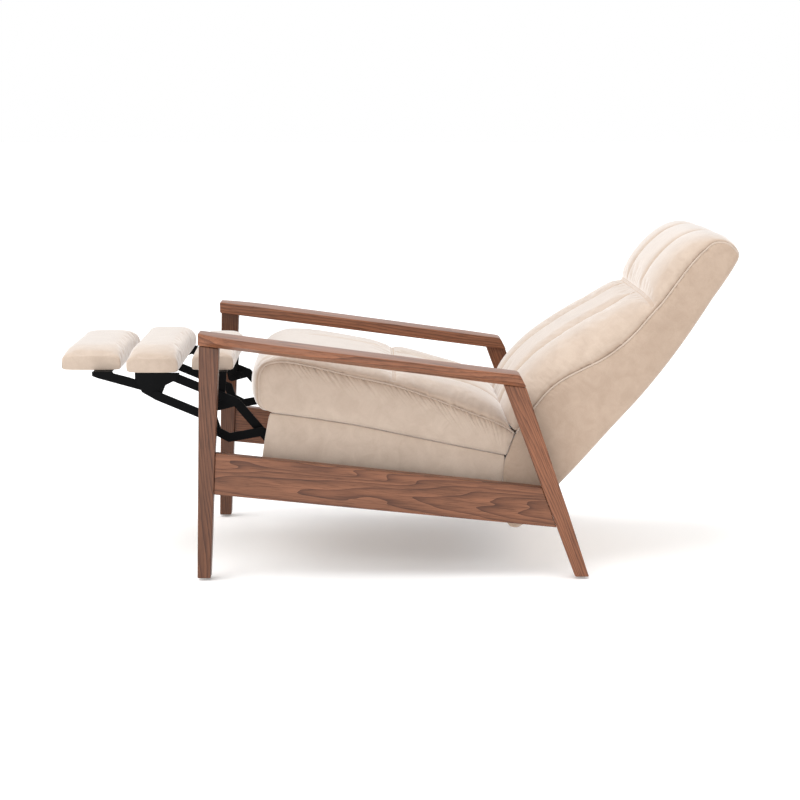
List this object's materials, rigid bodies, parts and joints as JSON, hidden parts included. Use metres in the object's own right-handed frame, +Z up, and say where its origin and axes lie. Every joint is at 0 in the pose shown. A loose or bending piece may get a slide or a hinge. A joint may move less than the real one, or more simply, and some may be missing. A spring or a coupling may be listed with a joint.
{
  "type": "recliner armchair",
  "caption": "Recliner armchair with an open timber frame, paddle arms, a tilting upholstered seat, a channelled reclining back and a padded footrest that folds under the seat.",
  "frame": {"origin": "centre of the base of the reclined chair's box, on the floor", "axes": "+Z up, the chair faces -Y, +X is the sitter's left"},
  "size_m": [0.799, 1.5954, 0.7957],
  "materials": {
    "walnut": "oiled, satin",
    "velvet": "short pile, matt with soft sheen",
    "black_steel": "satin black powder coat",
    "spring_steel": "plain",
    "plywood": "sanded, unfinished",
    "glide_plastic": "matt",
    "webbing": "woven elastic"
  },
  "bodies": {
    "frame": {"arm_left": "walnut", "arm_right": "walnut", "front_leg_left": "walnut", "front_leg_right": "walnut", "rear_leg_left": "walnut", "rear_leg_right": "walnut", "side_rail_left": "walnut", "side_rail_right": "walnut", "base_angle_left": "black_steel", "base_angle_right": "black_steel", "glide_front_left": "glide_plastic", "glide_front_right": "glide_plastic", "glide_rear_left": "glide_plastic", "glide_rear_right": "glide_plastic", "seat_pivot_pin_left": "spring_steel", "seat_pivot_pin_right": "spring_steel", "front_cross_rail": "walnut", "rear_cross_rail": "walnut"},
    "seat": {"seat_side_left": "velvet", "seat_side_right": "velvet", "seat_front_rail": "plywood", "seat_rear_rail": "plywood", "seat_cushion": "velvet", "seat_spring_1": "spring_steel", "seat_spring_2": "spring_steel", "seat_spring_3": "spring_steel", "side_plate_left": "black_steel", "side_plate_right": "black_steel", "hinge_plate_left": "black_steel", "hinge_plate_right": "black_steel", "mechanism_cross_tube": "black_steel"},
    "back": {"back_side_left": "velvet", "back_side_right": "velvet", "back_panel": "velvet", "back_top_rail": "plywood", "back_bottom_rail": "plywood", "back_webbing": "webbing", "back_cushion": "velvet"},
    "lift_links": {"lift_link_left": "black_steel", "lift_link_right": "black_steel"},
    "crank": {"crank_left": "black_steel", "crank_right": "black_steel"},
    "lower_link": {"lower_link_left": "black_steel", "lower_link_right": "black_steel"},
    "ottoman": {"ottoman_bracket_left": "black_steel", "ottoman_bracket_right": "black_steel", "footrest_board_middle": "plywood", "footrest_pad_middle": "velvet"},
    "flip": {"flip_arm_left": "black_steel", "flip_arm_right": "black_steel", "footrest_board_outer": "plywood", "footrest_pad_outer": "velvet"},
    "upper_front": {"upper_front_link_left": "black_steel", "upper_front_link_right": "black_steel"},
    "upper_rear": {"upper_rear_link_left": "black_steel", "upper_rear_link_right": "black_steel"},
    "inner_pad": {"inner_pad_bracket_left": "black_steel", "inner_pad_bracket_right": "black_steel", "footrest_board_inner": "plywood", "footrest_pad_inner": "velvet"}
  },
  "joints": [
    {"name": "footrest_fold", "type": "hinge", "parent": "seat", "child": "crank", "pos_m": [0, -0.2644, 0.304], "axis": [1, 0, 0], "range_deg": [0, 155.88]},
    {"name": "back_recline", "type": "hinge", "parent": "seat", "child": "back", "pos_m": [0, 0.3126, 0.335], "axis": [1, 0, 0], "range_deg": [0, 19]},
    {"name": "seat_tilt", "type": "hinge", "parent": "frame", "child": "seat", "pos_m": [0, 0.2326, 0.215], "axis": [1, 0, 0], "range_deg": [0, 5]},
    {"name": "lift_link_turn", "type": "hinge", "parent": "frame", "child": "lift_links", "pos_m": [0, 0.0626, 0.2232], "axis": [1, 0, 0], "range_deg": [0, 15.48]},
    {"name": "lower_link_turn", "type": "hinge", "parent": "crank", "child": "lower_link", "pos_m": [0, -0.4244, 0.337], "axis": [1, 0, 0], "range_deg": [-169.74, 0]},
    {"name": "ottoman_turn", "type": "hinge", "parent": "lower_link", "child": "ottoman", "pos_m": [0, -0.5664, 0.422], "axis": [1, 0, 0], "range_deg": [0, 103.86]},
    {"name": "flip_turn", "type": "hinge", "parent": "ottoman", "child": "flip", "pos_m": [0, -0.5924, 0.438], "axis": [1, 0, 0], "range_deg": [0, 90.02]},
    {"name": "upper_rear_turn", "type": "hinge", "parent": "seat", "child": "upper_rear", "pos_m": [0, -0.2604, 0.358], "axis": [1, 0, 0], "range_deg": [0, 151.95]},
    {"name": "upper_front_turn", "type": "hinge", "parent": "ottoman", "child": "upper_front", "pos_m": [0, -0.5254, 0.465], "axis": [1, 0, 0], "range_deg": [-110, 0]},
    {"name": "inner_pad_turn", "type": "hinge", "parent": "upper_rear", "child": "inner_pad", "pos_m": [0, -0.4234, 0.394], "axis": [1, 0, 0], "range_deg": [-97.95, 0]}
  ],
  "couplings": [
    {"joint": "seat_tilt", "follows": "back_recline", "ratio": 0.26316},
    {"joint": "lift_link_turn", "follows": "back_recline", "ratio": 0.81421},
    {"joint": "lower_link_turn", "follows": "footrest_fold", "ratio": -1.0888},
    {"joint": "ottoman_turn", "follows": "footrest_fold", "ratio": 0.6661},
    {"joint": "flip_turn", "follows": "footrest_fold", "ratio": 0.57735},
    {"joint": "upper_rear_turn", "follows": "footrest_fold", "ratio": 0.97461},
    {"joint": "upper_front_turn", "follows": "footrest_fold", "ratio": -0.70554},
    {"joint": "inner_pad_turn", "follows": "footrest_fold", "ratio": -0.6282}
  ]
}
